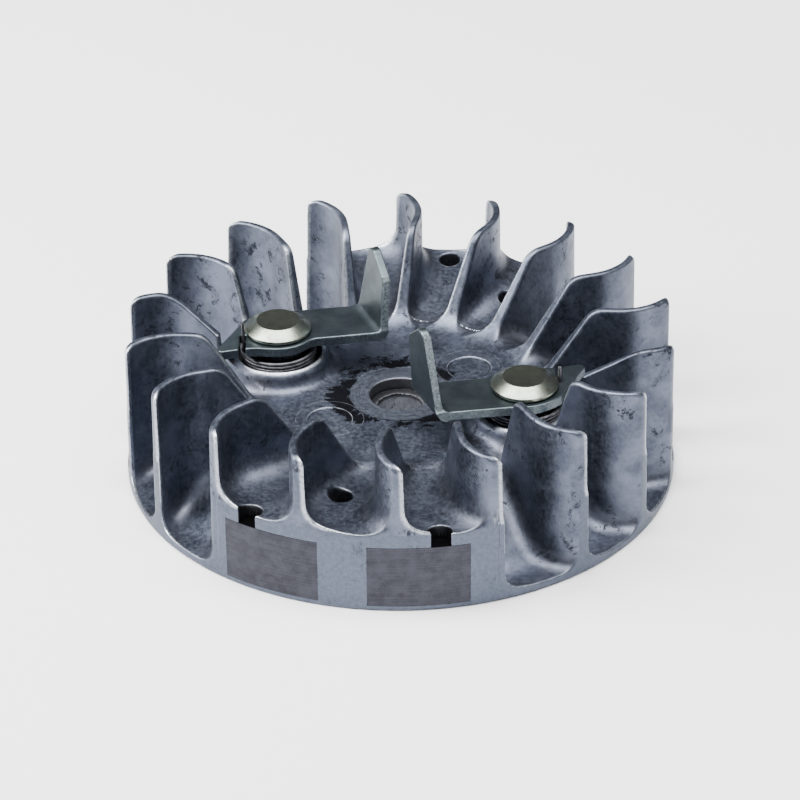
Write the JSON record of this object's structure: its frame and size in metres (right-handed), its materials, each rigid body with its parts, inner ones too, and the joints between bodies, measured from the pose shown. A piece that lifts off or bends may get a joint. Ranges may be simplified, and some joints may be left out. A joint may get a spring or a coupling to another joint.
{
  "type": "finned flywheel with starter pawls",
  "caption": "Small engine flywheel: cast rotor with curved cooling blades, pole shoes let into the rim, and two sprung starter pawls on pivot studs.",
  "frame": {"origin": "crank axis at the rim's lower face", "axes": "+Z along the crank axis towards the pawls and starter; the magnet side faces -Y, the counterweight side +Y"},
  "size_m": [0.11, 0.11, 0.0395],
  "materials": {
    "cast_aluminium": "die cast, tumbled edges, turned rim, oily dust",
    "laminated_steel": "ground with the rim, fine lamination lines, rust specks",
    "magnet": "ground block, cast in",
    "zinc_plated_steel": "dull zinc plate, bright sheared edges",
    "passivated_steel": "yellowish zinc, flat olive top",
    "spring_wire": "dark oiled wire"
  },
  "bodies": {
    "rotor": {"rotor_casting": "cast_aluminium", "pole_shoe_leading": "laminated_steel", "pole_shoe_trailing": "laminated_steel", "ignition_magnet": "magnet", "pivot_stud_left": "passivated_steel", "pivot_stud_right": "passivated_steel", "pawl_spring_left": "spring_wire", "pawl_spring_right": "spring_wire"},
    "pawl_left": {"starter_pawl_left": "zinc_plated_steel"},
    "pawl_right": {"starter_pawl_right": "zinc_plated_steel"}
  },
  "joints": [
    {"name": "left_pawl_pivot", "type": "hinge", "parent": "rotor", "child": "pawl_left", "pos_m": [-0.02615, 0.00691, 0.0225], "axis": [0, 0, 1], "range_deg": [0, 28], "stiffness_Nm_per_rad": 0.012, "springref_deg": -20.05, "deforming": ["pawl_spring_left"]},
    {"name": "right_pawl_pivot", "type": "hinge", "parent": "rotor", "child": "pawl_right", "pos_m": [0.02615, -0.00691, 0.0225], "axis": [0, 0, 1], "range_deg": [0, 28], "stiffness_Nm_per_rad": 0.012, "springref_deg": -20.05, "deforming": ["pawl_spring_right"]}
  ]
}
